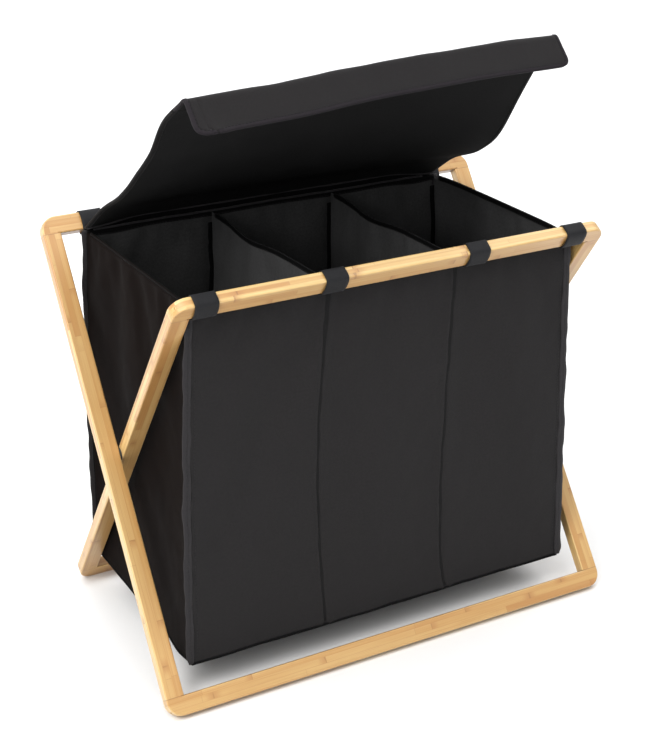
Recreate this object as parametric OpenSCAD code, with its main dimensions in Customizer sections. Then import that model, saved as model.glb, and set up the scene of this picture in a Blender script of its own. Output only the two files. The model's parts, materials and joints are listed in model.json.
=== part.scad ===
// Folding laundry hamper: two crossed bamboo frames carry a three-compartment fabric bag with a hinged fabric lid.
// Origin: on the floor, under the middle of the hamper. X runs along the rails, +Y to the back, +Z up.

/* [Frame] */
// Width of the outer frame, over its legs
frame_w = 660; // [560:5:760]
// Width of a bar, measured in the plane of its frame
bar_w = 24; // [22:1:30]
// Thickness of a bar, across the plane of its frame
bar_t = 16; // [14:1:20]
// Radius of the outer corners of each frame
corner_r = 20; // [12:1:20]
// Radius of the eased edges of the bars
edge_r = 2; // [1:0.5:3]
// Lean of each frame from the vertical when the hamper is open, in degrees
lean = 35; // [32:0.5:38]
// Distance from the pivot to the top of a frame, along the leg
top_reach = 322; // [310:1:340]
// Distance from the pivot to the foot of a frame, along the leg
foot_reach = 333; // [320:1:350]
// Depth planed off the lowest edge of the bottom rails, so that they stand flat
foot_cut = 1.5; // [1:0.5:2]
// Gap between an outer leg and the inner leg beside it
leg_gap = 2; // [2:0.5:3]

/* [Fasteners] */
// Diameter of the dowels in the frame corners
dowel_d = 6; // [5:1:7]
// Length of a dowel
dowel_l = 32; // [26:1:36]
// Distance between the two dowels of a corner
dowel_pitch = 11; // [10:1:13]
// Diameter of the pivot bolts
bolt_d = 6; // [5:1:6]
// Diameter of a bolt's head
head_d = 11; // [10:0.5:11]
// Height of a bolt's head
head_h = 4; // [3:0.5:4]
// Outer diameter of the threaded inserts
insert_d = 10; // [9:0.5:11]
// Length of a threaded insert
insert_l = 15; // [12:1:16]
// Diameter of the spacer washers between the legs
spacer_d = 18; // [16:1:20]

/* [Bag] */
// Width of the bag
bag_w = 556; // [456:2:556]
// Distance from the middle of the hamper to the middle of a top hem
hem_y = 159.5; // [158.5:0.5:160]
// Distance from the middle of the hamper to the foot of the front and back walls
base_y = 156; // [140:0.5:158]
// Height of the top edge of the hems above the floor
hem_z = 525; // [522:0.5:527]
// Height of the underside of the bag above the floor
base_z = 45; // [30:1:100]
// Thickness of the lined fabric walls
fabric_t = 1.5; // [1:0.1:2]
// Thickness of the folded hems
hem_t = 3; // [2.5:0.1:3]
// Depth of the folded hems
hem_h = 12; // [8:1:16]
// Diameter of the piping in the seams of the bag
piping_d = 4; // [3:0.5:4.5]

/* [Loops] */
// Width of the loops that hang the bag from the rails
loop_w = 30; // [20:1:36]
// Thickness of the loops
loop_t = 1.2; // [0.8:0.1:1.4]
// Places of the four front loops along the rail
front_loop_x = [-264, -95, 108, 256]; // [-264:1:264]
// Places of the four rear loops along the rail
rear_loop_x = [-261, -97, 97, 261]; // [-264:1:264]

/* [Lid] */
// Width of the lid
lid_w = 534; // [500:2:550]
// Thickness of the lined lid, and of its front flap
lid_t = 3; // [2:0.5:3]
// Length of the rear section of the lid, from the seam at the bag to the bend
lid_rear_l = 125; // [110:1:140]
// Length of the front section of the lid, from the bend to the crease of the flap
lid_front_l = 265; // [240:1:280]
// Slope of the rear section as the lid stands half open, in degrees
lid_rear_slope = 26.5; // [24:0.5:35]
// Slope of the front section as the lid stands half open, in degrees
lid_front_slope = 45.5; // [36:0.5:60]
// Length of the front flap
flap_l = 40; // [30:1:60]
// Width of the binding on the edges of the lid
binding_w = 5; // [4:0.5:8]

/* [Hidden] */
$fn = 48;

bamboo = [0.87, 0.69, 0.43];
black_cloth = [0.13, 0.13, 0.14];
black_binding = [0.08, 0.08, 0.09];
steel = [0.72, 0.73, 0.75];

sides = [-1, 1];
running = 0.05;                 // radial clearance of round fits
clear = 0.3;                    // gap between touching pieces that move apart
floor_slack = 100;              // how far the planing cut reaches past the rails

inner_w = frame_w - 2 * bar_w - 2 * leg_gap;
pivot_z = foot_reach * cos(lean) + bar_t / 2 * sin(lean) - foot_cut;
outer_face_x = frame_w / 2 - bar_w;     // inner face of an outer leg
inner_face_x = inner_w / 2 - bar_w;     // inner face of an inner leg
washer_t = 1;
sink = head_h + washer_t + 2;           // depth of the counterbore in an inner leg
sink_d = head_d + 4;
hex_d = 5.8;                            // across the corners of the bolt's hex socket
wall_half_w = bag_w / 2 - piping_d;     // front and back walls, between the corner pipings
side_x = bag_w / 2 - piping_d / 2;      // middle of a side wall
wall_top_z = hem_z - hem_h;
wall_foot_z = base_z + piping_d;
divider_x = bag_w / 6;                  // the two dividers leave three equal compartments
tape_t = 0.8;
tape_l = 10;
loop_clear = 0.1;
lid_z = hem_z + 2;                      // height of the seam that the lid turns about
binding_t = lid_t + 1;
flap_slope = lid_front_slope - 90;

// Distance from the middle of the hamper to the middle of the front or back wall, at a height
function wall_y(z) = base_y + (hem_y - base_y) * (z - base_z) / (hem_z - base_z);

// ---- frames -------------------------------------------------------------------------------------------

// Puts a frame, drawn upright with its pivot at the origin, at its lean; side 1 is the outer frame
module lean_frame(side) {
    translate([0, 0, pivot_z]) rotate([-side * lean, 0, 0]) children();
}

module rounded_rect(w, h, r) {
    square([w - 2 * r, h], center = true);
    square([w, h - 2 * r], center = true);
    for (x = sides, y = sides)
        translate([x * (w / 2 - r), y * (h / 2 - r)]) circle(r);
}

// Half of a bar's section, for the rounded ends of a rail: flat at x = 0, with eased edges at x = reach
module rail_end_section(reach) {
    intersection() {
        translate([0, -bar_t]) square([reach + 1, 2 * bar_t]);
        rounded_rect(2 * reach, bar_t, edge_r);
    }
}

// A rail that lies on z = 0, with its two upper corners rounded
module rail(w) {
    straight = w / 2 - corner_r;
    translate([0, 0, bar_w / 2]) rotate([90, 0, 90])
        linear_extrude(2 * straight, center = true) rounded_rect(bar_t, bar_w, edge_r);
    for (side = sides) translate([side * straight, 0, 0]) mirror([side < 0 ? 1 : 0, 0, 0]) {
        linear_extrude(bar_w - corner_r) rail_end_section(corner_r);
        translate([0, 0, bar_w - corner_r]) rotate([90, 0, 0])
            rotate_extrude(angle = 90) rail_end_section(corner_r);
    }
}

module dowel_row(w, d, l) {
    for (side = sides, k = sides)
        translate([side * (w / 2 - bar_w / 2) + k * dowel_pitch / 2, 0, 0]) cylinder(d = d, h = l, center = true);
}

module dowel_holes(w) {
    dowel_row(w, dowel_d + 2 * running, dowel_l + 2);
}

module top_rail(side, w) {
    lean_frame(side) translate([0, 0, top_reach - bar_w]) color(bamboo) difference() {
        rail(w);
        dowel_holes(w);
    }
}

module bottom_rail(side, w) {
    color(bamboo) difference() {
        lean_frame(side) translate([0, 0, bar_w - foot_reach]) mirror([0, 0, 1]) difference() {
            rail(w);
            dowel_holes(w);
        }
        translate([-frame_w, -frame_w, -floor_slack]) cube([2 * frame_w, 2 * frame_w, floor_slack]);
    }
}

module leg_bar(w, side_x_sign) {
    foot = bar_w - foot_reach;
    difference() {
        translate([side_x_sign * (w - bar_w) / 2, 0, foot])
            linear_extrude(top_reach - bar_w - foot) rounded_rect(bar_w, bar_t, edge_r);
        for (z = [foot, top_reach - bar_w]) translate([0, 0, z]) dowel_holes(w);
    }
}

// Lays a piece drawn along +Z from z = 0 along X, outwards from x = start on one side
module along_x(side, start) {
    translate([side * start, 0, 0]) rotate([0, side * 90, 0]) children();
}

module outer_leg(side) {
    lean_frame(1) color(bamboo) difference() {
        leg_bar(frame_w, side);
        along_x(side, outer_face_x - 1) cylinder(d = insert_d + 2 * running, h = insert_l + 2);
    }
}

module inner_leg(side) {
    lean_frame(-1) color(bamboo) difference() {
        leg_bar(inner_w, side);
        along_x(side, inner_face_x - 1) cylinder(d = bolt_d + 2 * running, h = bar_w + 2);
        along_x(side, inner_face_x - 1) cylinder(d = sink_d, h = sink + 1);
    }
}

module frame_dowels(side, w) {
    lean_frame(side) color(bamboo)
        for (z = [bar_w - foot_reach, top_reach - bar_w]) translate([0, 0, z]) dowel_row(w, dowel_d, dowel_l);
}

// ---- pivots -------------------------------------------------------------------------------------------

module ring(outer_d, inner_d, h) {
    difference() {
        cylinder(d = outer_d, h = h);
        translate([0, 0, -1]) cylinder(d = inner_d, h = h + 2);
    }
}

washer_x = inner_face_x + sink - clear - washer_t;

module pivot_bolts() {
    tip_x = outer_face_x + insert_l - 1;
    lean_frame(1) color(steel) for (side = sides) along_x(side, washer_x - head_h) difference() {
        union() {
            cylinder(d = head_d, h = head_h);
            cylinder(d = bolt_d, h = tip_x - washer_x + head_h);
        }
        translate([0, 0, -1]) cylinder(d = hex_d, h = head_h - 0.5, $fn = 6);
    }
}

module pivot_washers() {
    lean_frame(1) color(steel) for (side = sides)
        along_x(side, washer_x) ring(head_d + 2, bolt_d + 2 * running, washer_t);
}

module pivot_spacers() {
    lean_frame(1) color("white") for (side = sides)
        along_x(side, outer_face_x - leg_gap + clear) ring(spacer_d, bolt_d + 2 * running, leg_gap - clear);
}

module pivot_inserts() {
    lean_frame(1) color(steel) for (side = sides)
        along_x(side, outer_face_x) ring(insert_d, bolt_d + 2 * running, insert_l);
}

// ---- bag ----------------------------------------------------------------------------------------------

// Extrudes an outline drawn in the YZ plane along X, between two places
module slab_x(x0, x1) {
    translate([x0, 0, 0]) rotate([90, 0, 90]) linear_extrude(x1 - x0) children();
}

// The front (end -1) or back (end 1) wall, hung from its hem
module end_wall(end) {
    color(black_cloth) slab_x(-wall_half_w, wall_half_w)
        polygon([for (p = [[wall_foot_z, -1], [wall_foot_z, 1], [wall_top_z, 1], [wall_top_z, -1]])
            [end * wall_y(p[0]) + p[1] * fabric_t / 2, p[0]]]);
}

module end_hem(end) {
    color(black_binding) slab_x(-bag_w / 2, bag_w / 2)
        polygon([for (p = [[wall_top_z, -1], [wall_top_z, 1], [hem_z, 1], [hem_z, -1]])
            [end * wall_y(p[0]) + p[1] * hem_t / 2, p[0]]]);
}

// Piping up both corners of an end wall and along its foot
module end_piping(end) {
    foot_z = base_z + piping_d / 2;
    tilt = atan((hem_y - base_y) / (hem_z - base_z));
    rise = (wall_top_z - foot_z) / cos(tilt);
    color(black_binding) translate([0, end * wall_y(foot_z), foot_z]) difference() {
        union() {
            for (side = sides) translate([side * side_x, 0, 0]) {
                rotate([-end * tilt, 0, 0]) cylinder(d = piping_d, h = rise);
                sphere(d = piping_d);
            }
            rotate([0, 90, 0]) cylinder(d = piping_d, h = 2 * side_x, center = true);
        }
        translate([-bag_w, -bag_w, wall_top_z - foot_z]) cube([2 * bag_w, 2 * bag_w, bag_w]);
    }
}

// Outline of a wall that runs from front to back, between two heights; inset is kept clear of the end walls
module cross_outline(z0, z1, inset) {
    polygon([
        [-wall_y(z0) + inset + clear, z0], [wall_y(z0) - inset, z0],
        [wall_y(z1) - inset, z1], [-wall_y(z1) + inset + clear, z1]
    ]);
}

module cross_wall(x, z0, z1, t, inset) {
    slab_x(x - t / 2, x + t / 2) cross_outline(z0, z1, inset);
}

module side_wall(side) {
    color(black_cloth) cross_wall(side * side_x, wall_foot_z, wall_top_z, fabric_t, piping_d / 2);
}

module side_hem(side) {
    color(black_binding) cross_wall(side * side_x, wall_top_z, hem_z, hem_t, hem_t / 2);
}

module side_base_piping(side) {
    y = wall_y(base_z) - piping_d / 2;
    color(black_binding) translate([side * side_x, clear - y, base_z + piping_d / 2]) rotate([-90, 0, 0])
        cylinder(d = piping_d, h = 2 * y - clear);
}

module divider(side) {
    color(black_cloth) cross_wall(side * divider_x, wall_foot_z, wall_top_z, fabric_t, fabric_t / 2);
}

module divider_hem(side) {
    color(black_binding) cross_wall(side * divider_x, wall_top_z, hem_z - 1, hem_t, hem_t / 2);
}

// One panel of the bag's base; position 0 is the left compartment
module base_panel(position) {
    edges = [-side_x + piping_d / 2, -divider_x, divider_x, side_x - piping_d / 2];
    z = base_z + piping_d / 2;
    y = wall_y(z) - piping_d / 2;
    color(black_cloth) translate([edges[position], clear - y, z - fabric_t / 2])
        cube([edges[position + 1] - edges[position], 2 * y - clear, fabric_t]);
}

// ---- loops --------------------------------------------------------------------------------------------

// Lays an outline, drawn round the section of a top rail, along X at a place
module on_rail(side, x) {
    lean_frame(side) translate([x - loop_w / 2, 0, top_reach - bar_w / 2]) rotate([90, 0, 90])
        linear_extrude(loop_w) children();
}

module rail_loop(side, x) {
    gap = 2 * loop_clear;
    color(black_binding) on_rail(side, x) difference() {
        rounded_rect(bar_t + gap + 2 * loop_t, bar_w + gap + 2 * loop_t, edge_r + loop_clear + loop_t);
        rounded_rect(bar_t + gap, bar_w + gap, edge_r + loop_clear);
    }
}

module loop_tapes(side, places) {
    color(black_binding) for (x = places) on_rail(side, x)
        translate([side * 2 - tape_l / 2, -bar_w / 2 - loop_clear - loop_t - tape_t]) square([tape_l, tape_t]);
}

// ---- lid ----------------------------------------------------------------------------------------------

function ahead(slope, l) = [-l * cos(slope), l * sin(slope)];
lid_seam = [wall_y(hem_z), lid_z];
lid_bend = lid_seam + ahead(lid_rear_slope, lid_rear_l);
lid_crease = lid_bend + ahead(lid_front_slope, lid_front_l);

// A flat section of the lid: it starts and stops short of the lines it turns about
module lid_section(from, slope, l, start, stop, x0, x1, t) {
    translate([x0, from[0], from[1]]) rotate([-slope, 0, 0])
        translate([0, stop - l, -t / 2]) cube([x1 - x0, l - start - stop, t]);
}

module lid_panel(from, slope, l, start, stop) {
    half = lid_w / 2 - binding_w;
    color(black_cloth) lid_section(from, slope, l, start, stop, -half, half, lid_t);
}

module lid_edges(from, slope, l, start, stop) {
    color(black_binding) for (x = [-lid_w / 2, lid_w / 2 - binding_w])
        lid_section(from, slope, l, start, stop, x, x + binding_w, binding_t);
}

bend_gap = 1.6;      // each side of the bend
crease_gap = 2.4;    // each side of the crease

module lid_rear() lid_panel(lid_seam, lid_rear_slope, lid_rear_l, 0.5, bend_gap);
module lid_front() lid_panel(lid_bend, lid_front_slope, lid_front_l, bend_gap, crease_gap);
module lid_flap() lid_panel(lid_crease, flap_slope, flap_l, crease_gap, binding_w);
module lid_rear_binding() lid_edges(lid_seam, lid_rear_slope, lid_rear_l, 1.5, bend_gap);
module lid_front_binding() lid_edges(lid_bend, lid_front_slope, lid_front_l, bend_gap, crease_gap);
module flap_binding() {
    lid_edges(lid_crease, flap_slope, flap_l, crease_gap, 0);
    color(black_binding)
        lid_section(lid_crease, flap_slope, flap_l, flap_l - binding_w, 0,
                    binding_w - lid_w / 2, lid_w / 2 - binding_w, binding_t);
}

// ---- nodes --------------------------------------------------------------------------------------------

top_rail(1, frame_w);  // outer_top_rail
bottom_rail(1, frame_w);  // outer_bottom_rail
outer_leg(-1);  // outer_left_leg
outer_leg(1);  // outer_right_leg
top_rail(-1, inner_w);  // inner_top_rail
bottom_rail(-1, inner_w);  // inner_bottom_rail
inner_leg(-1);  // inner_left_leg
inner_leg(1);  // inner_right_leg
frame_dowels(1, frame_w);  // outer_frame_dowels
frame_dowels(-1, inner_w);  // inner_frame_dowels
pivot_bolts();
pivot_inserts();
pivot_spacers();
pivot_washers();
end_wall(-1);  // front_wall
end_wall(1);  // back_wall
side_wall(-1);  // left_wall
side_wall(1);  // right_wall
divider(-1);  // left_divider
divider(1);  // right_divider
base_panel(0);  // left_base
base_panel(1);  // centre_base
base_panel(2);  // right_base
end_piping(-1);  // front_piping
end_piping(1);  // back_piping
side_base_piping(-1);  // left_base_piping
side_base_piping(1);  // right_base_piping
end_hem(-1);  // front_hem
end_hem(1);  // rear_hem
side_hem(-1);  // left_hem
side_hem(1);  // right_hem
divider_hem(-1);  // left_divider_hem
divider_hem(1);  // right_divider_hem
rail_loop(-1, front_loop_x[0]);  // front_loop_1
rail_loop(-1, front_loop_x[1]);  // front_loop_2
rail_loop(-1, front_loop_x[2]);  // front_loop_3
rail_loop(-1, front_loop_x[3]);  // front_loop_4
rail_loop(1, rear_loop_x[0]);  // rear_loop_1
rail_loop(1, rear_loop_x[1]);  // rear_loop_2
rail_loop(1, rear_loop_x[2]);  // rear_loop_3
rail_loop(1, rear_loop_x[3]);  // rear_loop_4
loop_tapes(-1, front_loop_x);  // front_loop_tapes
loop_tapes(1, rear_loop_x);  // rear_loop_tapes
lid_rear();
lid_front();
lid_flap();
lid_rear_binding();
lid_front_binding();
flap_binding();
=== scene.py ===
import json
import math

import bpy
import numpy as np
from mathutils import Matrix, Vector, noise


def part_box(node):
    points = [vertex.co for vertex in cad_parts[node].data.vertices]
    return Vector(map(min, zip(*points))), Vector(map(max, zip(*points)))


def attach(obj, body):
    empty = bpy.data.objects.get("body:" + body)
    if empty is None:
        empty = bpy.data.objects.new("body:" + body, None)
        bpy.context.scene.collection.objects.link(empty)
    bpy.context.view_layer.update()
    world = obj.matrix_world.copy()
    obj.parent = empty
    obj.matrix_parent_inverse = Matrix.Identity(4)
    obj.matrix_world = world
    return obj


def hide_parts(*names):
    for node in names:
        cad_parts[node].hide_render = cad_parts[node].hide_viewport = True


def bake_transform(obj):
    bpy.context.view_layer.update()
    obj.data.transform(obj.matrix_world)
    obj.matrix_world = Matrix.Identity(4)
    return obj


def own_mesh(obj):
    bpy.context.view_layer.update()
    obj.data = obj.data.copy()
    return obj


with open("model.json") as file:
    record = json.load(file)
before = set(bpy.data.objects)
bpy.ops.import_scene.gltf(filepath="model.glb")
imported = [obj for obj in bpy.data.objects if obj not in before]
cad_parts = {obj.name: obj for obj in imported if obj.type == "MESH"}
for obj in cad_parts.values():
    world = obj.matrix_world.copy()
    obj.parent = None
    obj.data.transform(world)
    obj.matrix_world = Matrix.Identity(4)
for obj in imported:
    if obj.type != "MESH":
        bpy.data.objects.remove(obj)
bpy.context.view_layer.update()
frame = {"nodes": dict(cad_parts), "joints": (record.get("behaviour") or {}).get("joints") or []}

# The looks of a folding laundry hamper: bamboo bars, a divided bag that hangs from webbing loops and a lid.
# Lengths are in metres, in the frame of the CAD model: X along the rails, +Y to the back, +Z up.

# ---- measures of the frame ----

MM = 0.001
LEAN = math.radians(35)
UV_MAP = "metres"
SIDES = (-1, 1)


def middle(node):
    low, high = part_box(node)
    return (low + high) / 2


def joint_place(name):
    found = [joint for joint in frame["joints"] if joint["name"] == name]
    return np.array(found[0]["pos_m"])


PIVOT = joint_place("frame_fold")
LID_SEAM = joint_place("lid_open")
LID_BEND = joint_place("lid_bend")
LID_CREASE = joint_place("flap_fold")

HEM_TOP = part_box("rear_hem")[1].z
HEM_Y = joint_place("bag_back_swing")[1]
HEM_T = 3 * MM
BAG_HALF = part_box("front_hem")[1].x
BASE_Z = middle("left_base").z
BAR_W = 24 * MM
BAR_T = 16 * MM
CLOTH_T = 1.5 * MM
WALL_FOOT_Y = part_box("back_wall")[0].y + CLOTH_T / 2
DIVIDER_X = middle("right_divider").x
BINDING_W = 6.5 * MM
SEAM_HALF = BAG_HALF - 5.5 * MM
LID_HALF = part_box("lid_front_binding")[1].x
FLAP_L = 47 * MM
LEG_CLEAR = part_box("inner_right_leg")[0].x - 1.3 * MM      # a side wall stays inside this beside a leg
TOPSTITCH = 8 * MM            # from the corner seam to the row of stitches beside it
PIPING_R = 1.9 * MM


def wall_y(z):
    """Distance from the middle of the hamper to the front or back wall, at a height."""
    share = (z - BASE_Z) / (HEM_TOP - BASE_Z)
    return WALL_FOOT_Y + (HEM_Y - WALL_FOOT_Y) * share


# ---- small helpers ----


def smooth(low, high, value):
    share = np.clip((value - low) / (high - low), 0, 1)
    return share * share * (3 - 2 * share)


def bell(distance, width):
    return np.exp(-((distance / width) ** 2))


def unit(vectors):
    return vectors / np.maximum(np.linalg.norm(vectors, axis=-1, keepdims=True), 1e-12)


def catmull(values, places):
    """Rows of values read at fractional places, on the smooth curve through them."""
    last = len(values) - 1
    cell = np.clip(np.floor(places).astype(int), 0, last - 1)
    t = (places - cell).reshape((-1,) + (1,) * (values.ndim - 1))
    before, here, after, beyond = (values[np.clip(cell + k, 0, last)] for k in (-1, 0, 1, 2))
    cubic = 3 * here - before - 3 * after + beyond
    square = 2 * before - 5 * here + 4 * after - beyond
    return here + 0.5 * t * (after - before + t * (square + t * cubic))


def refine(grid, rows, columns):
    """A grid of points read at fractional rows and columns."""
    return np.swapaxes(catmull(np.swapaxes(catmull(grid, rows), 0, 1), columns), 0, 1)


def lengths(path):
    steps = np.linalg.norm(np.diff(path, axis=0), axis=1)
    return np.concatenate([[0], np.cumsum(steps)])


def read_along(along, places, rows):
    """Rows of values, each at a distance along a path, read at other distances."""
    return np.stack([np.interp(places, along, rows[:, k]) for k in range(rows.shape[1])], 1)


def resample(path, count, rows=None):
    """A path, or other rows of values along it, read at even distances along the path."""
    along = lengths(path)
    return read_along(along, np.linspace(0, along[-1], count), path if rows is None else rows)


def round_corners(points, radius, steps):
    """A path whose inner corners are rounded off, starting radius before each of them."""
    points = np.array(points, float)
    out = [points[0]]
    for before, corner, after in zip(points, points[1:], points[2:]):
        back, on = before - corner, after - corner
        reach = min(radius, 0.49 * np.linalg.norm(back), 0.49 * np.linalg.norm(on))
        start, end = corner + unit(back) * reach, corner + unit(on) * reach
        for t in np.linspace(0, 1, steps):
            out.append((1 - t) ** 2 * start + 2 * t * (1 - t) * corner + t * t * end)
    out.append(points[-1])
    return np.array(out)


def ripple(points, scale, seed):
    """Smooth noise between about -1 and 1 at each point, with features of the size scale."""
    flat = points.reshape(-1, 3) / scale + seed
    values = np.array([noise.noise(Vector(p)) for p in flat])
    return values.reshape(points.shape[:-1]) * 1.6


# ---- shapes: (points, faces, texture places), all of them closed ----


def grid_faces(index):
    """The faces between neighbours in a grid of points, whose numbers are in index."""
    corners = (index[:-1, :-1], index[1:, :-1], index[1:, 1:], index[:-1, 1:])
    return np.stack(corners, -1).reshape(-1, 4)


def ring_faces(index):
    """The faces between closed rings of points, whose numbers are the rows of index."""
    ahead = np.roll(index, -1, axis=1)
    return np.stack([index[:-1], ahead[:-1], ahead[1:], index[1:]], -1).reshape(-1, 4)


def grid_normals(grid):
    return unit(np.cross(np.gradient(grid, axis=0), np.gradient(grid, axis=1)))


def slab(grid, thickness):
    """Cloth of a thickness, which may vary over the grid, laid evenly on both sides of a grid of points."""
    rows, columns = grid.shape[:2]
    count = rows * columns
    half = grid_normals(grid) * np.broadcast_to(thickness, (rows, columns))[..., None] / 2
    points = np.concatenate([(grid + half).reshape(-1, 3), (grid - half).reshape(-1, 3)])
    index = np.arange(count).reshape(rows, columns)
    edge = np.concatenate([index[0, :-1], index[:-1, -1], index[-1, :0:-1], index[:0:-1, 0]])
    ahead = np.roll(edge, -1)
    rim = np.stack([edge, ahead, ahead + count, edge + count], 1)
    faces = np.concatenate([grid_faces(index), grid_faces(index + count)[:, ::-1], rim]).tolist()
    u = lengths(grid.mean(axis=0))
    v = lengths(grid.mean(axis=1))
    places = np.stack(np.meshgrid(v, u, indexing="ij"), -1).reshape(-1, 2)
    return points, faces, np.concatenate([places, places])


def sweep(path, across, up, outline):
    """Carries a closed outline, of (across, up) pairs, along a path, and closes both ends."""
    outline = np.array(outline, float)
    rings = path[:, None] + outline[None, :, :1] * across[:, None] + outline[None, :, 1:] * up[:, None]
    rows, columns = rings.shape[:2]
    index = np.arange(rows * columns).reshape(rows, columns)
    faces = ring_faces(index).tolist() + [index[0, ::-1].tolist(), index[-1].tolist()]
    around = lengths(np.concatenate([outline, outline[:1]]))[:-1]
    places = np.stack(np.meshgrid(lengths(path), around, indexing="ij"), -1).reshape(-1, 2)
    return rings.reshape(-1, 3), faces, places


def oval(width, height, steps=12):
    """A rounded outline that is flatter than an ellipse on its long sides."""
    turns = np.linspace(0, 2 * math.pi, steps, endpoint=False)
    shape = np.stack([np.cos(turns), np.sin(turns)], 1)
    return np.sign(shape) * np.abs(shape) ** 0.7 * (width / 2, height / 2)


def tube(path, radius):
    """A cord along a path."""
    tangent = unit(np.gradient(path, axis=0))
    helper = np.array([0, 0, 1.0]) if abs(tangent[0, 2]) < 0.8 else np.array([1.0, 0, 0])
    across = unit(np.cross(tangent, helper))
    return sweep(path, across, np.cross(across, tangent), oval(2 * radius, 2 * radius, 10))


STITCH = 3.2 * MM             # length of a stitch that shows
STITCH_PITCH = 4.6 * MM
THREAD = 0.42 * MM            # radius of the thread


def stitches(path, out):
    """A row of stitches along a path, on the surface that faces out."""
    along = lengths(path)
    count = max(2, int(along[-1] / STITCH_PITCH))
    places = (np.arange(count) + 0.5) * along[-1] / count
    tangent = unit(read_along(along, places, np.gradient(path, axis=0)))
    normal = unit(read_along(along, places, np.broadcast_to(out, path.shape)))
    side = np.cross(normal, tangent)
    turns = np.linspace(0, 2 * math.pi, 5, endpoint=False)
    rings = [(-0.5, 0.0), (-0.36, 0.85), (0, 1.0), (0.36, 0.85), (0.5, 0.0)]     # place along, and radius
    template = np.array([(a * STITCH, r * THREAD * math.cos(t), r * THREAD * math.sin(t))
                         for a, r in rings for t in turns])
    basis = np.stack([tangent, side, normal], 1)
    middles = read_along(along, places, path) + normal * THREAD * 0.3
    points = middles[:, None] + np.einsum("mk,nkd->nmd", template, basis)
    quads = ring_faces(np.arange(len(template)).reshape(len(rings), len(turns)))
    faces = (quads[None] + np.arange(count)[:, None, None] * len(template)).reshape(-1, 4).tolist()
    return points.reshape(-1, 3), faces, np.zeros((count * len(template), 2))


def stitches_through(path, out, offset):
    """Rows of stitches on both faces of a seam, each as far from its middle as the offset."""
    return [stitches(path + out * face * offset, out * face) for face in SIDES]


LOOKS = {}


def piece(name, shapes, look, lining=None):
    """One object made of closed shapes. Lining is a (look, direction) for the faces that face that way."""
    points, faces, places, start = [], [], [], 0
    for shape_points, shape_faces, shape_places in shapes:
        points.append(shape_points)
        places.append(shape_places)
        faces.extend([[start + corner for corner in face] for face in shape_faces])
        start += len(shape_points)
    mesh = bpy.data.meshes.new(name)
    mesh.from_pydata(np.concatenate(points).tolist(), [], faces)
    corners = np.empty(len(mesh.loops), np.int32)
    mesh.loops.foreach_get("vertex_index", corners)
    layer = mesh.uv_layers.new(name=UV_MAP)
    layer.data.foreach_set("uv", np.concatenate(places)[corners].astype(np.float32).ravel())
    mesh.polygons.foreach_set("use_smooth", np.ones(len(mesh.polygons), bool))
    mesh.validate()
    mesh.materials.append(LOOKS[look])
    if lining:
        mesh.materials.append(LOOKS[lining[0]])
        direction = Vector(lining[1])
        for polygon in mesh.polygons:
            polygon.material_index = int(polygon.normal.dot(direction) > 0.15)
    made = bpy.data.objects.new(name, mesh)
    bpy.context.scene.collection.objects.link(made)
    return made


# ---- materials ----


class Graph:
    """A material and short ways to add nodes to it."""

    def __init__(self, name):
        self.material = bpy.data.materials.new(name)
        self.material.use_nodes = True
        self.tree = self.material.node_tree
        self.shader = self.tree.nodes["Principled BSDF"]
        LOOKS[name] = self.material

    def node(self, kind, inputs=None, **settings):
        made = self.tree.nodes.new(kind)
        for key, value in settings.items():
            setattr(made, key, value)
        for key, value in (inputs or {}).items():
            self.feed(made.inputs[key], value)
        return made

    def feed(self, socket, value):
        if isinstance(value, bpy.types.NodeSocket):
            self.tree.links.new(value, socket)
        else:
            socket.default_value = (*value, 1.0) if socket.type == "RGBA" else value

    def math(self, operation, *values, clamp=False):
        inputs = dict(enumerate(values))
        return self.node("ShaderNodeMath", inputs, operation=operation, use_clamp=clamp).outputs[0]

    def vector(self, operation, *values):
        return self.node("ShaderNodeVectorMath", dict(enumerate(values)), operation=operation).outputs[0]

    def plus(self, *values, clamp=False):
        return self.math("ADD", *values, clamp=clamp)

    def minus(self, *values):
        return self.math("SUBTRACT", *values)

    def times(self, *values):
        return self.math("MULTIPLY", *values)

    def join(self, x, y, z=0.0):
        return self.node("ShaderNodeCombineXYZ", {0: x, 1: y, 2: z}).outputs[0]

    def split(self, vector):
        return self.node("ShaderNodeSeparateXYZ", {0: vector}).outputs

    def noise(self, vector, scale, detail=2.0, roughness=0.5):
        inputs = {"Vector": vector, "Scale": scale, "Detail": detail, "Roughness": roughness}
        return self.node("ShaderNodeTexNoise", inputs).outputs["Fac"]

    def random(self, vector):
        return self.node("ShaderNodeTexWhiteNoise", {"Vector": vector}, noise_dimensions="3D").outputs[0]

    def ramp(self, value, low, high, out_low=0.0, out_high=1.0):
        inputs = {"Value": value, "From Min": low, "From Max": high, "To Min": out_low, "To Max": out_high}
        return self.node("ShaderNodeMapRange", inputs, interpolation_type="SMOOTHSTEP").outputs[0]

    def mix(self, share, first, second):
        """A blend of two colours."""
        return self.node("ShaderNodeMix", {0: share, 6: first, 7: second}, data_type="RGBA").outputs[2]

    def finish(self, color, roughness, height=None, strength=0.3, depth=0.2 * MM, **constants):
        self.feed(self.shader.inputs["Base Color"], color)
        self.feed(self.shader.inputs["Roughness"], roughness)
        if height is not None:
            bump = self.node("ShaderNodeBump", {"Strength": strength, "Distance": depth, "Height": height})
            self.tree.links.new(bump.outputs[0], self.shader.inputs["Normal"])
        for key, value in constants.items():
            self.shader.inputs[key.replace("_", " ")].default_value = value


def leg_ends():
    """Where the legs end in an upright frame, as heights above the pivot."""
    places = [v.co for v in frame["nodes"]["outer_left_leg"].data.vertices]
    ups = [(place.z - PIVOT[2]) * math.cos(LEAN) + place.y * math.sin(LEAN) for place in places]
    return max(ups), min(ups)


LEG_ENDS = leg_ends()
BAMBOO_TONES = ((0.650, 0.454, 0.179), (0.508, 0.281, 0.078), (0.37, 0.16, 0.042), (0.17, 0.065, 0.018))


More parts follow.
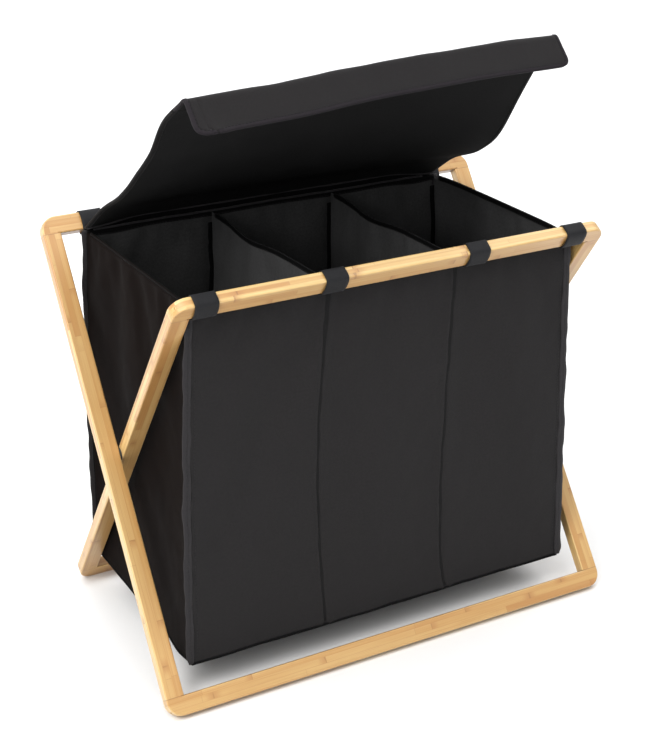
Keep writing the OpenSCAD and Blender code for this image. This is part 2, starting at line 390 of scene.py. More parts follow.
def bamboo(name, side, along_rail):
    """Laminated bamboo with its fibres along the bar. Side is 1 on the outer frame, -1 on the inner one."""
    g = Graph(name)
    place = g.node("ShaderNodeTexCoord").outputs["Object"]
    upright = {"Vector": place, "Center": tuple(PIVOT), "Angle": side * LEAN}
    turned = g.node("ShaderNodeVectorRotate", upright, rotation_type="X_AXIS").outputs[0]
    x, flat, up = g.split(g.vector("SUBTRACT", turned, tuple(PIVOT)))
    along, wide = (x, up) if along_rail else (up, x)
    strip_w, layer_t, strip_l, node_gap = 8.1 * MM, 5.4 * MM, 310 * MM, 160 * MM
    column = g.math("DIVIDE", wide, strip_w)
    layer = g.math("DIVIDE", g.plus(flat, BAR_T / 2), layer_t)
    strip = g.join(g.math("FLOOR", column), g.math("FLOOR", layer), 3.0 * side)
    chance = g.random(strip)

    def to_edge(cells, size):
        """The distance to the nearer edge of a cell of this size."""
        off_middle = g.math("ABSOLUTE", g.minus(g.math("FRACT", cells), 0.5))
        return g.times(g.minus(0.5, off_middle), size)

    def spans(length, stagger):
        """Cells along each strip: a chance for the cell, and the distance to the nearer end of it."""
        run = g.plus(g.math("DIVIDE", along, length), g.times(chance, stagger))
        picked = g.random(g.vector("ADD", strip, g.join(stagger, 2.0, g.math("FLOOR", run))))
        return picked, to_edge(run, length)

    def streaks(stretch, fine, detail):
        """Noise with its own scale along the fibres and across them, different in each strip."""
        stretched = g.join(g.times(along, stretch), g.times(wide, fine), g.times(flat, fine))
        apart = g.vector("MULTIPLY", strip, (7.0, 7.0, 7.0))
        return g.noise(g.vector("ADD", stretched, apart), 1.0, detail, 0.6)

    fibre = streaks(9.0, 900.0, 3.0)
    grain = streaks(4.0, 190.0, 3.0)
    cloud = streaks(9.0, 40.0, 2.0)
    tone, to_end = spans(strip_l, 9.0)
    node_chance, to_node = spans(node_gap, 23.0)
    bow = g.times(g.minus(streaks(20.0, 90.0, 1.0), 0.5), 5 * MM)
    to_node = g.math("ABSOLUTE", g.plus(to_node, bow))
    shown = g.ramp(node_chance, 0.25, 0.6)
    line = g.times(g.ramp(to_node, 0.2 * MM, 1.7 * MM, 1.0, 0.0), shown)
    halo = g.times(g.ramp(to_node, 0.5 * MM, 14 * MM, 1.0, 0.0), shown)

    pale, honey, brown, dark = BAMBOO_TONES
    share = g.plus(g.times(tone, 0.75), g.ramp(grain, 0.3, 0.75, -0.2, 0.5), clamp=True)
    color = g.mix(share, pale, honey)
    color = g.mix(g.ramp(tone, 0.72, 0.95, 0.0, 0.36), color, brown)
    color = g.mix(g.ramp(cloud, 0.5, 0.85, 0.0, 0.5), color, honey)
    color = g.mix(g.ramp(fibre, 0.5, 0.75, 0.0, 0.5), color, brown)
    color = g.mix(g.times(halo, 0.6), color, brown)
    color = g.mix(g.times(line, 0.5), color, dark)
    color = g.mix(g.ramp(to_end, 0.1 * MM, 0.6 * MM, 0.3, 0.0), color, dark)

    # Glue lines between the strips
    for cells, size in ((column, strip_w), (layer, layer_t)):
        color = g.mix(g.ramp(to_edge(cells, size), 0.05 * MM, 0.45 * MM, 0.4, 0.0), color, brown)

    # Hairlines where the ends of the legs meet the rails
    for leg_end in LEG_ENDS:
        gap = g.math("ABSOLUTE", g.minus(up, leg_end))
        color = g.mix(g.ramp(gap, 0.15 * MM, 0.5 * MM, 0.7, 0.0), color, dark)
    height = g.plus(g.times(fibre, 0.6), g.times(grain, 0.4))
    roughness = g.ramp(fibre, 0.3, 0.8, 0.40, 0.56)
    g.finish(color, roughness, height, 0.35, 0.12 * MM, Coat_Weight=0.9, Coat_Roughness=0.35)


def woven(name, color, pitch, strength=0.45, rough=0.82, sheen=0.04, shine=0.15, ribs=0.0):
    """Plain weave of a thread pitch, with cloudy variation; ribs, in mm, adds the cords of a webbing."""
    spread = 0.14
    g = Graph(name)
    place = g.node("ShaderNodeUVMap", uv_map=UV_MAP).outputs[0]
    u, v, _ = g.split(place)

    def rounded(place, width):
        """The height of round threads that lie side by side."""
        return g.math("ABSOLUTE", g.math("SINE", g.times(place, math.pi / width)))

    def slubs(fine_u, fine_v):
        """Threads of uneven thickness."""
        return g.noise(g.join(g.times(u, fine_u), g.times(v, fine_v)), 1.0, 3.0)

    columns, rows = (g.math("FLOOR", g.math("DIVIDE", way, pitch)) for way in (u, v))
    parity = g.math("ABSOLUTE", g.math("MODULO", g.plus(columns, rows), 2.0))
    threads = g.plus(g.times(rounded(u, pitch), parity), g.times(rounded(v, pitch), g.minus(1.0, parity)))
    if ribs:
        threads = g.plus(g.times(threads, 0.5), g.times(rounded(v, ribs * MM), 1.2))
    warp_slubs, weft_slubs = slubs(900.0, 60.0), slubs(60.0, 900.0)
    cloud = g.noise(place, 22.0, 4.0, 0.6)
    fleck = g.noise(place, 300.0, 2.0, 0.7)
    level = g.plus(g.times(g.plus(warp_slubs, weft_slubs), spread), 1.0 - spread)
    level = g.times(level, g.ramp(cloud, 0.3, 0.7, 1.0 - spread * 0.5, 1.0 + spread * 0.5))
    level = g.times(level, g.ramp(fleck, 0.3, 0.7, 1.0 - 0.8 * spread, 1.0 + 0.8 * spread))
    # Painted shade: the colour is darker in the hollows between the threads and cords, and lighter on their
    # crowns.
    level = g.times(level, g.plus(g.times(threads, 0.3), 0.82))
    shade = g.node("ShaderNodeVectorMath", {0: color, "Scale": level}, operation="SCALE")
    height = g.plus(threads, g.times(warp_slubs, 0.5))
    roughness = g.ramp(cloud, 0.3, 0.7, rough - 0.05, rough + 0.05)
    g.finish(shade.outputs[0], roughness, height, strength, 0.15 * MM,
             Sheen_Weight=sheen, Sheen_Roughness=0.45, Specular_IOR_Level=shine)


def hooked(name):
    """The stiff hooks of a hook tape, with painted shade: darker low between the hooks and lighter on their
    tips.
    """
    g = Graph(name)
    place = g.node("ShaderNodeUVMap", uv_map=UV_MAP).outputs[0]
    dots = g.node("ShaderNodeTexVoronoi", {"Vector": place, "Scale": 900.0}).outputs["Distance"]
    height = g.ramp(dots, 0.1, 0.6, 1.0, 0.0)
    # Painted shade: the colour follows the height of the hooks.
    color = g.mix(height, (0.008, 0.008, 0.010), (0.03, 0.03, 0.034))
    g.finish(color, 0.55, height, 0.8, 0.5 * MM)


def metal(name, color):
    """Metal with fine scratches along X, the axis of the bolts."""
    g = Graph(name)
    place = g.node("ShaderNodeTexCoord").outputs["Object"]
    scratches = g.noise(g.vector("MULTIPLY", place, (60.0, 900.0, 900.0)), 1.0, 3.0)
    worn = g.noise(place, 260.0, 3.0)
    tone = g.mix(g.ramp(worn, 0.4, 0.7, 0.0, 0.4), color, tuple(0.6 * c for c in color))
    roughness = g.ramp(scratches, 0.3, 0.7, 0.22, 0.40)
    g.finish(tone, roughness, scratches, 0.15, 0.05 * MM, Metallic=1.0)


def moulded(name):
    g = Graph(name)
    place = g.node("ShaderNodeTexCoord").outputs["Object"]
    grain = g.noise(place, 1800.0, 2.0)
    cloud = g.noise(place, 120.0, 2.0)
    color = g.mix(g.ramp(cloud, 0.3, 0.7), (0.030, 0.030, 0.031), (0.022, 0.022, 0.023))
    g.finish(color, g.ramp(grain, 0.3, 0.7, 0.38, 0.5), grain, 0.2, 0.05 * MM, Specular_IOR_Level=0.5)


def floor_look(name):
    g = Graph(name)
    place = g.node("ShaderNodeTexCoord").outputs["Object"]
    cloud = g.noise(place, 3.0, 2.0)
    color = g.mix(g.ramp(cloud, 0.3, 0.7), (0.79, 0.79, 0.79), (0.775, 0.775, 0.775))
    g.finish(color, 0.85, Specular_IOR_Level=0.1)


def make_looks():
    for frame_name, side in (("outer", 1), ("inner", -1)):
        bamboo(f"{frame_name}_rail_bamboo", side, along_rail=True)
        bamboo(f"{frame_name}_leg_bamboo", side, along_rail=False)
    woven("bag_weave", (0.0142, 0.0132, 0.0137), 0.8 * MM)
    # A darker copy of the bag cloth, for the outer faces of the side walls: painted shade.
    woven("shaded_side_weave", (0.0049, 0.0032, 0.0028), 0.8 * MM, sheen=0.01, shine=0.03)
    # A lighter copy of the bag cloth, for the dividers and the inner faces of the side walls: painted light
    # inside the bag.
    woven("lit_divider_weave", (0.050, 0.050, 0.051), 0.8 * MM)
    woven("lining", (0.0125, 0.0125, 0.0127), 0.8 * MM, sheen=0.0, shine=0.03)
    # A lighter copy of the bag cloth, for the inner faces of the front and back walls: painted light inside
    # the bag.
    woven("lit_bag_lining", (0.038, 0.038, 0.0384), 0.8 * MM, sheen=0.0, shine=0.03)
    woven("lid_weave", (0.0110, 0.0099, 0.0105), 0.8 * MM)
    woven("dark_tape", (0.0065, 0.0062, 0.0065), 1.0 * MM, rough=0.7, sheen=0.02, shine=0.1, ribs=1.0)
    woven("edge_tape", (0.017, 0.0155, 0.017), 1.0 * MM, rough=0.7, sheen=0.08, shine=0.2, ribs=1.0)
    woven("flap_tape", (0.0125, 0.0104, 0.0127), 1.0 * MM, rough=0.75, sheen=0.03, shine=0.1, ribs=1.0)
    woven("hem_tape", (0.0030, 0.0030, 0.0032), 1.0 * MM, rough=0.75, sheen=0.01, shine=0.05, ribs=1.2)
    woven("webbing", (0.0104, 0.0105, 0.0119), 1.3 * MM, rough=0.62, strength=0.7, ribs=1.5)
    woven("thread", (0.020, 0.019, 0.020), 0.4 * MM, rough=0.6)
    # Near-black thread for the flap's stitches: painted shade of the dimples that the stitches pull into the
    # cloth.
    woven("dimple_shade_thread", (0.0030, 0.0030, 0.0032), 0.4 * MM, rough=0.6)
    hooked("hook_tape")
    metal("zinc_steel", (0.60, 0.60, 0.62))
    metal("brass_insert", (0.62, 0.50, 0.28))
    moulded("black_nylon")
    floor_look("pale_floor")


def dress(node, look):
    obj = frame["nodes"][node]
    if not obj.material_slots:
        obj.data.materials.append(None)
    for material_slot in obj.material_slots:
        material_slot.material = LOOKS[look]


def dress_frame():
    """Materials for the CAD pieces that show as they are."""
    for frame_name in ("outer", "inner"):
        for part in ("top", "bottom"):
            dress(f"{frame_name}_{part}_rail", f"{frame_name}_rail_bamboo")
        for hand in ("left", "right"):
            dress(f"{frame_name}_{hand}_leg", f"{frame_name}_leg_bamboo")
        dress(f"{frame_name}_frame_dowels", f"{frame_name}_leg_bamboo")
    pivot_looks = {"bolts": "zinc_steel", "washers": "zinc_steel", "inserts": "brass_insert",
                   "spacers": "black_nylon"}
    for part, look in pivot_looks.items():
        dress(f"pivot_{part}", look)


# ---- camera and light ----


def make_camera():
    """The camera stands left of the front and above it, and looks at the middle of the bag."""
    azimuth, elevation, distance = math.radians(-29.17), math.radians(20.23), 2.1125
    aim = Vector((-0.0055, 0, 0.4509))
    back = Vector((math.sin(azimuth) * math.cos(elevation), -math.cos(azimuth) * math.cos(elevation),
                   math.sin(elevation)))
    data = bpy.data.cameras.new("camera")
    data.sensor_width = 36
    data.lens = 77
    data.shift_y = -0.12
    camera = bpy.data.objects.new("camera", data)
    bpy.context.scene.collection.objects.link(camera)
    camera.location = aim + back * distance
    camera.rotation_mode = "QUATERNION"
    camera.rotation_quaternion = (-back).to_track_quat("-Z", "Y")
    bpy.context.scene.camera = camera


def area_light(name, place, aim, size, power, color=(1, 1, 1)):
    data = bpy.data.lights.new(name, "AREA")
    data.shape = "DISK"
    data.size = size
    data.energy = power
    data.color = color
    light = bpy.data.objects.new(name, data)
    bpy.context.scene.collection.objects.link(light)
    light.location = place
    light.rotation_mode = "QUATERNION"
    light.rotation_quaternion = (Vector(aim) - Vector(place)).to_track_quat("-Z", "Y")


def make_studio():
    world = bpy.data.worlds.new("studio")
    bpy.context.scene.world = world
    world.use_nodes = True
    world.node_tree.nodes["Background"].inputs["Color"].default_value = (0.98, 0.99, 1.0, 1)
    world.node_tree.nodes["Background"].inputs["Strength"].default_value = 0.66
    centre = (0, 0, 0.35)
    area_light("ceiling", (0, 2.0, 4.5), (0, 2.0, 0), 12.0, 600)
    area_light("key", (-2.7, -1.3, 3.1), centre, 1.8, 66, (1.0, 0.985, 0.96))
    area_light("fill", (-2.2, -1.5, 1.6), (0, 0, 0.5), 1.0, 20, (1.0, 0.99, 0.98))
    half = 14
    mesh = bpy.data.meshes.new("floor")
    mesh.from_pydata([(x * half, y * half, 0) for y in SIDES for x in SIDES], [], [(0, 1, 3, 2)])
    mesh.materials.append(LOOKS["pale_floor"])
    floor = bpy.data.objects.new("floor", mesh)
    bpy.context.scene.collection.objects.link(floor)
    bpy.context.scene.view_settings.view_transform = "Standard"


# ---- the bag's shell ----

SIDE_CELLS = 15
MIDDLE_CELLS = 16
DEPTH_CELLS = 26
HEIGHT_CELLS = 40
LEFT_SEAM = SIDE_CELLS
RIGHT_SEAM = SIDE_CELLS + MIDDLE_CELLS
WIDTH_CELLS = 2 * SIDE_CELLS + MIDDLE_CELLS
CELL_W = 2 * SEAM_HALF / WIDTH_CELLS
MOST_SAG = 4.5 * MM           # no point of the bag settles further than this

# How far each corner seam stands out from its straight line, in mm: at the hem, half way and at the foot
CORNER_FLARE = {
    (-1, -1): (-0.5, 7.5, 7),
    (1, -1): (-8.5, -4, 1.5),
    (-1, 1): (0.5, 6, 6),
    (1, 1): (-8, 0, 3),
}


def flare(side, end, height):
    top, half, foot = CORNER_FLARE[side, end]
    return MM * (foot * (1 - height) * (1 - 2 * height) + 4 * half * height * (1 - height)
                 + top * height * (2 * height - 1))


def seam_wander(x, height):
    """The front seams of the dividers aren't straight: both bow to the left, the right one lower down."""
    bow = height if x < 0 else height ** 0.62
    at_seam = 1 - min(1, abs(abs(x) - DIVIDER_X) / DIVIDER_X)
    tilt = 4 * MM * height if x < 0 else 0
    return at_seam * (tilt - 13.5 * MM * math.sin(math.pi * bow))


def bag_point(x, depth, height):
    """A point of the bag before it sags. Depth runs from 0 at the front to 1 at the back."""
    z = BASE_Z + height * (HEM_TOP - HEM_T - BASE_Z)
    y = wall_y(z) * (2 * depth - 1)
    side = 1 if x > 0 else -1
    outer = max(0, abs(x) - DIVIDER_X) / (SEAM_HALF - DIVIDER_X)
    corner_reach = 0.07
    front, back = math.exp(-depth / corner_reach), math.exp(-(1 - depth) / corner_reach)
    out = outer ** 3 * (flare(side, -1, height) * front + flare(side, 1, height) * back)

    # The end walls bulge between their seams; the side walls draw in, but stand out at the front of the foot
    share = outer if abs(x) > DIVIDER_X else (x / DIVIDER_X + 1) / 2
    arch = math.sin(math.pi * share)
    belly = 2.4 * MM * arch * math.sin(math.pi * min(1, height * 1.1)) * (2 * depth - 1)
    side_belly = -2.0 * MM * math.sin(math.pi * depth) * math.sin(math.pi * height) * outer ** 3
    side_belly += 6 * MM * (1 - height) ** 4 * bell(depth - 0.14, 0.12) * outer ** 3

    # The base sags, most at its ends
    hollow = arch if abs(x) < DIVIDER_X else math.sin(math.pi / 2 * min(1, 2 * share)) * (1 - 0.25 * outer)
    sag = (4 + 9 * outer) * MM * hollow * math.sin(math.pi * depth) ** 0.8 * (1 - height) ** 6

    # The hems wave a little and dip near the back corners; those of the dividers dip behind their middle
    lift = 0.7 * MM * math.cos(x * 33) * height ** 8
    lift -= 3 * MM * depth ** 4 * height ** 8 * bell(abs(x) - 230 * MM, 30 * MM)
    if abs(abs(x) - DIVIDER_X) < 1 * MM:
        dip = bell(depth - 0.66, 0.17) * math.sin(math.pi * depth) * height ** 5
        lift -= 7 * MM * dip
        side_belly -= side * 3 * MM * dip
    wander = seam_wander(x, height) * (1 - depth) ** 2
    return x + side * (out + side_belly) + wander, y + belly, z - sag + lift


def bag_stations():
    left = np.linspace(-SEAM_HALF, -DIVIDER_X, SIDE_CELLS + 1)
    centre = np.linspace(-DIVIDER_X, DIVIDER_X, MIDDLE_CELLS + 1)
    return np.concatenate([left[:-1], centre, -left[::-1][1:]])


def bag_cells():
    """The lattice places that lie on a panel of the bag, and the faces between them."""
    walls = {0, LEFT_SEAM, RIGHT_SEAM, WIDTH_CELLS}
    places = [(i, j, k) for i in range(WIDTH_CELLS + 1) for j in range(DEPTH_CELLS + 1)
              for k in range(HEIGHT_CELLS + 1) if i in walls or j in (0, DEPTH_CELLS) or k == 0]
    number = {place: n for n, place in enumerate(places)}
    faces = []
    for i, j, k in places:
        for a, b in (((1, 0, 0), (0, 0, 1)), ((0, 1, 0), (0, 0, 1)), ((1, 0, 0), (0, 1, 0))):
            on_panel = (j in (0, DEPTH_CELLS) and not a[1] and not b[1]) or (i in walls and not a[0]) or \
                       (k == 0 and not b[2])
            corners = [(i, j, k), (i + a[0], j + a[1], k + a[2]),
                       (i + a[0] + b[0], j + a[1] + b[1], k + a[2] + b[2]), (i + b[0], j + b[1], k + b[2])]
            if on_panel and all(corner in number for corner in corners):
                faces.append([number[corner] for corner in corners])
    return places, faces


def sag_by_simulation(points, faces, pinned):
    """Hangs the bag from its hems under its own weight, and returns where its points come to rest."""
    mesh = bpy.data.meshes.new("bag_shell")
    mesh.from_pydata(points.tolist(), [], faces)
    shell = bpy.data.objects.new("bag_shell", mesh)
    bpy.context.scene.collection.objects.link(shell)
    group = shell.vertex_groups.new(name="hems")
    group.add(pinned, 1.0, "REPLACE")
    cloth = shell.modifiers.new("Cloth", "CLOTH")
    settings = cloth.settings
    settings.vertex_group_mass = group.name
    settings.quality = 5
    settings.mass = 0.008
    settings.tension_stiffness = 40
    settings.compression_stiffness = 25
    settings.shear_stiffness = 12
    settings.bending_stiffness = 1.2
    settings.air_damping = 4
    settings.shrink_min = -0.012
    cloth.collision_settings.use_collision = False
    frames = 30
    cloth.point_cache.frame_start = 1
    cloth.point_cache.frame_end = frames
    scene = bpy.context.scene
    for number in range(1, frames + 1):
        scene.frame_set(number)
    hung = shell.evaluated_get(bpy.context.evaluated_depsgraph_get())
    result = np.empty(len(points) * 3, np.float32)
    hung.data.vertices.foreach_get("co", result)
    bpy.data.objects.remove(shell)
    scene.frame_set(1)
    return result.reshape(-1, 3).astype(float)


def bag_lattice():
    """The whole bag as one grid of points, (width, depth, height), filled only on its panels."""
    places, faces = bag_cells()
    stations = bag_stations()
    start = np.array([bag_point(stations[i], j / DEPTH_CELLS, k / HEIGHT_CELLS) for i, j, k in places])
    wobble = np.stack([ripple(start, 45 * MM, seed) for seed in (3.1, 7.7, 12.3)], 1)
    height = np.array([place[2] for place in places]) / HEIGHT_CELLS
    ends = start + wobble * (0.7 * MM * (1 - smooth(0.85, 1, height)))[:, None]
    pinned = [n for n, place in enumerate(places) if place[2] == HEIGHT_CELLS]
    ends = sag_by_simulation(ends, faces, pinned)
    moved = ends - start
    for level in range(HEIGHT_CELLS + 1):
        here = height * HEIGHT_CELLS == level
        moved[here, 2] -= moved[here, 2].mean()
    far = np.linalg.norm(moved, axis=1, keepdims=True)
    ends = start + moved * MOST_SAG * np.tanh(far / MOST_SAG) / np.maximum(far, 1e-9)
    ends[:, 0] = keep_off_legs(ends)
    lattice = np.full((WIDTH_CELLS + 1, DEPTH_CELLS + 1, HEIGHT_CELLS + 1, 3), np.nan)
    for place, end in zip(places, ends):
        lattice[place] = end
    return lattice


def keep_off_legs(points):
    """The X of each point, held between the inner legs where one passes it."""
    leg_y = -(points[:, 2] - PIVOT[2]) * math.tan(LEAN)
    gap = np.abs(points[:, 1] - leg_y)
    limit = LEG_CLEAR - CLOTH_T / 2 + 12 * MM * smooth(12 * MM, 26 * MM, gap)
    return np.clip(points[:, 0], -limit, limit)


# ---- the bag's pieces ----


def fine_places(cells, seams=()):
    """Two steps to a cell, and closer ones beside each seam."""
    extra = [seam + step for seam in seams for step in (-0.36, -0.22, -0.1, 0.1, 0.22, 0.36)]
    return np.unique(np.concatenate([np.linspace(0, cells, 2 * cells + 1), extra]))


WALL_ROWS = fine_places(WIDTH_CELLS, (LEFT_SEAM, RIGHT_SEAM))


def pucker(grid, distance, seed):
    """Small gathers that run out from a seam, by distance from it."""
    reach = np.exp(-distance / (14 * MM)) * (1 - bell(distance, 5 * MM))
    return 1.1 * MM * ripple(grid * (1, 1, 2.2), 26 * MM, seed) * reach


def end_wall(end, lattice):
    """The front (end -1) or back (end 1) wall, with grooves where the dividers are sewn to it."""
    grid = lattice[:, 0 if end < 0 else DEPTH_CELLS]
    columns = fine_places(HEIGHT_CELLS)
    points = refine(grid, WALL_ROWS, columns)
    push = np.zeros(points.shape[:2])
    groove = 0.8 * MM
    for seam in (LEFT_SEAM, RIGHT_SEAM):
        away = np.abs(WALL_ROWS - seam)[:, None] * CELL_W
        push -= groove * bell(away, 2.8 * MM)
        push += groove * bell(away - 7 * MM, 4 * MM)
        push += pucker(points, away, seam)
    for seam in (0, WIDTH_CELLS):
        away = np.abs(WALL_ROWS - seam)[:, None] * CELL_W
        push += pucker(points, away, seam + 5)
        push -= groove * bell(away - TOPSTITCH, 1.8 * MM)
    push += 0.5 * MM * ripple(points, 60 * MM, 21.0)
    push *= 1 - smooth(0.93, 1, columns / HEIGHT_CELLS)
    points[..., 1] += end * push
    return points


def cross_wall(grid, seed):
    """A wall that runs from front to back, gathered a little at both its seams."""
    rows = fine_places(DEPTH_CELLS)
    columns = fine_places(HEIGHT_CELLS)
    points = refine(grid, rows, columns)
    share = rows[:, None] / DEPTH_CELLS
    away = 2 * HEM_Y * share
    push = pucker(points, away, seed) + pucker(points, 2 * HEM_Y - away, seed + 3)
    push += 0.6 * MM * ripple(points, 75 * MM, seed + 1)
    push *= smooth(0, 0.06, share) * smooth(0, 0.06, 1 - share)
    push *= 1 - smooth(0.9, 1, columns / HEIGHT_CELLS)
    points[..., 0] += push
    return points


def base_panel(grid, seed):
    rows, columns = fine_places(grid.shape[0] - 1), fine_places(DEPTH_CELLS)
    points = refine(grid, rows, columns)
    edge = np.minimum(rows, grid.shape[0] - 1 - rows)[:, None] * np.minimum(columns, DEPTH_CELLS - columns)
    points[..., 2] += 0.7 * MM * ripple(points, 50 * MM, seed) * smooth(0, 8, edge)
    return points


def squash_to_back(made):
    """Ride with the back wall, on a mesh of its own."""
    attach(made, "bag_back")
    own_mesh(made)


def narrow_with_legs(made):
    """Give a piece of an end wall a mesh of its own."""
    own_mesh(made)


# From the lower edge of a hem to its top: thickness in mm, over the wall at even steps and then above it at
# these heights in mm. The stitches are on the third step, where it is pinched.
HEM_BODY = (2.4, 3.3, 2.7, 3.3, 3.5, 3.5, 3.5, 3.5, 3.5)
HEM_FOLD = (3.4, 3.2, 2.6, 1.8, 0.8)
HEM_RISE = (0.8, 1.6, 2.2, 2.6, HEM_T / MM)
HEM_SEAM = 2


def hem(points, covers, shift):
    """A hem folded over the top of a wall, and its stitches. It covers a share of the wall's last step."""
    last = points.shape[1] - 1
    body = catmull(np.swapaxes(points, 0, 1), np.linspace(last - covers, last, len(HEM_BODY)))
    rise = np.array(HEM_RISE) * MM
    fold = points[None, :, -1] + rise[:, None, None] * np.array([0, 0, 1.0])
    grid = np.swapaxes(np.concatenate([body, fold]), 0, 1) + shift
    thickness = np.array(HEM_BODY + HEM_FOLD) * MM
    sewing = stitches_through(grid[:, HEM_SEAM], grid_normals(grid)[:, HEM_SEAM], 1.35 * MM)
    return slab(grid, thickness[None]), sewing


def corner_tape(lattice, side, end):
    """The raw edges of two walls, bound in a tape that stands out sideways beyond the corner."""
    grid = lattice[0 if side < 0 else WIDTH_CELLS, 0 if end < 0 else DEPTH_CELLS]
    path = catmull(grid, np.linspace(0, HEIGHT_CELLS, 150))
    path = np.concatenate([path, path[-1:] + [[0, 0, HEM_T - 0.6 * MM]]])
    along = lengths(path)
    free = smooth(0, 40 * MM, along[-1] - along)
    sway = 0.45 * MM * np.sin(along * 95 + side * 2 + end) + 0.3 * MM * np.sin(along * 230 + end)
    path[:, 1] += end * (0.6 * MM + sway * free)
    wide = 1 + 0.09 * np.sin(along * 70 + side) + 0.05 * np.sin(along * 190 + end)
    wide *= 0.75 + 0.25 * smooth(0, 9 * MM, along)
    across = np.outer(wide, [side, 0, 0])
    up = np.outer(1.15 - 0.15 * free, [0, end, 0])
    outline = oval(BINDING_W + 4 * MM, 2.8 * MM, 14) + (BINDING_W / 2 - 2 * MM, 0)
    return sweep(path, across, up, outline), stitches_through(path + across * MM, up, 1.4 * MM)


def surface_line(points, place, end):
    """A line up the outside of an end wall, at a fractional lattice place."""
    row = np.interp([place], WALL_ROWS, np.arange(len(WALL_ROWS)))
    return catmull(points, row)[0] + (0, end * CLOTH_T / 2, 0)


def seam_shade_strip(line, end, seed):
    """A near-black strip along the groove of a divider's seam: painted shade, of uneven width and wider at
    the hem.
    """
    along = lengths(line)
    wide = 1 + 0.4 * np.sin(along * 37 + seed) * np.sin(along * 91 + 2 * seed)
    wide += 0.8 * smooth(0.65, 1, along / along[-1])
    across = np.outer(wide, [1.0, 0, 0])
    return sweep(line, across, np.tile([0, end, 0.0], (len(line), 1)), oval(4.4 * MM, 1.4 * MM))


def foot_line(wall):
    """The lowest line of a wall of the lattice."""
    return catmull(wall[:, 0], fine_places(len(wall) - 1))


def make_bag(lattice):
    make_end_wall(lattice, -1, "front", "front_hem")
    make_end_wall(lattice, 1, "back", "rear_hem")
    columns = (("left_wall", 0), ("left_divider", LEFT_SEAM), ("right_divider", RIGHT_SEAM),
               ("right_wall", WIDTH_CELLS))
    for number, (node, column) in enumerate(columns):
        make_cross_wall(lattice, node, column, 31.0 + 9 * number)
    make_base(lattice)
    make_seam_tapes(lattice)


def make_end_wall(lattice, end, where, hem_node):
    """The front or back wall, its hem and bound edges, and the painted shade along the seams of the
    dividers.
    """
    points = end_wall(end, lattice)
    # The inner face takes the lighter copy of the bag cloth: painted light.
    lining = ("lit_bag_lining", (0, -end, 0))
    panel = piece(f"{where}_panel", [slab(points, CLOTH_T)], "bag_weave", lining)
    band, rows = hem(points, 1.0, (0, 0, 0))
    hem_band = piece(f"{hem_node}_band", [band], "hem_tape")
    tapes, tape_rows = zip(*[corner_tape(lattice, side, end) for side in SIDES])
    # The topstitching runs from above the foot to below the hem
    for place in (TOPSTITCH / CELL_W, WIDTH_CELLS - TOPSTITCH / CELL_W):
        rows.append(stitches(surface_line(points, place, end)[2:-6], np.array([0, end, 0.0])))
    # Near-black strips in the grooves of the dividers' seams: painted shade.
    cords = [seam_shade_strip(surface_line(points, seam, end)[1:-1], end, seam) for seam in (LEFT_SEAM, RIGHT_SEAM)]
    seams = piece(f"{where}_divider_seam_shade", cords, "dark_tape")
    binding = piece(f"{where}_corner_tapes", tapes, "edge_tape")
    foot = foot_line(lattice[:, 0 if end < 0 else DEPTH_CELLS]) - (0, 0, 0.5 * MM)
    piping = piece(f"{where}_foot_piping", [tube(foot, PIPING_R)], "hem_tape")
    sewing = piece(f"{where}_stitches", rows + tape_rows[0] + tape_rows[1], "thread")
    sewn_on = [hem_band, binding, piping, seams, sewing]
    for made in [panel] + sewn_on:
        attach(made, f"bag_{where}")
        if made is not hem_band:
            narrow_with_legs(made)
    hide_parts(f"{where}_wall")
    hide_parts(hem_node)
    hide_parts(f"{where}_piping")


def make_cross_wall(lattice, node, column, seed):
    """A side wall or a divider with its hem, which on a side wall is sewn to the inner face."""
    name = node.replace("_wall", "_side")
    hem_node = node.replace("_wall", "") + "_hem"
    inward = {"left_wall": 1, "right_wall": -1}.get(node, 0)
    # The outer faces of the side walls take the darker copy of the bag cloth, painted shade; the dividers
    # take the lighter copy, painted light.
    look = "shaded_side_weave" if inward else "lit_divider_weave"
    # The inner faces of the side walls take the lighter copy of the bag cloth too: painted light.
    lining = ("lit_divider_weave", (inward, 0, 0)) if inward else None
    points = cross_wall(lattice[column], seed)
    panel = piece(f"{name}_panel", [slab(points, CLOTH_T)], look, lining)
    covers, drop = (0.8, 0) if inward else (0.75, 1 * MM)
    band, rows = hem(points[2:-2], covers, (inward * 1.2 * MM, 0, -drop))
    hem_band = piece(f"{name}_hem_band", [band], "hem_tape")
    sewing = piece(f"{name}_hem_stitches", rows, "thread")
    edge = points[2:-2, -1] + (inward * 0.3 * MM, 0, HEM_T - 0.9 * MM - drop)
    cord = piece(f"{name}_top_cord", [tube(edge, 0.9 * MM)], look)
    for made in (panel, hem_band, sewing, cord):
        squash_to_back(made)
    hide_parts(node)
    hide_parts(hem_node)


def make_base(lattice):
    spans = (("left_base", 0, LEFT_SEAM), ("centre_base", LEFT_SEAM, RIGHT_SEAM),
             ("right_base", RIGHT_SEAM, WIDTH_CELLS))
    for seed, (node, start, stop) in enumerate(spans):
        points = base_panel(lattice[start:stop + 1, :, 0], 61.0 + seed)
        panel = piece(f"{node}_panel", [slab(points, CLOTH_T)], "bag_weave")
        squash_to_back(panel)
        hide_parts(node)
    for side, node in ((-1, "left_base_piping"), (1, "right_base_piping")):
        path = foot_line(lattice[0 if side < 0 else WIDTH_CELLS])
        piping = piece(f"{node}_cord", [tube(path, PIPING_R)], "hem_tape")
        squash_to_back(piping)
        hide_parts(node)


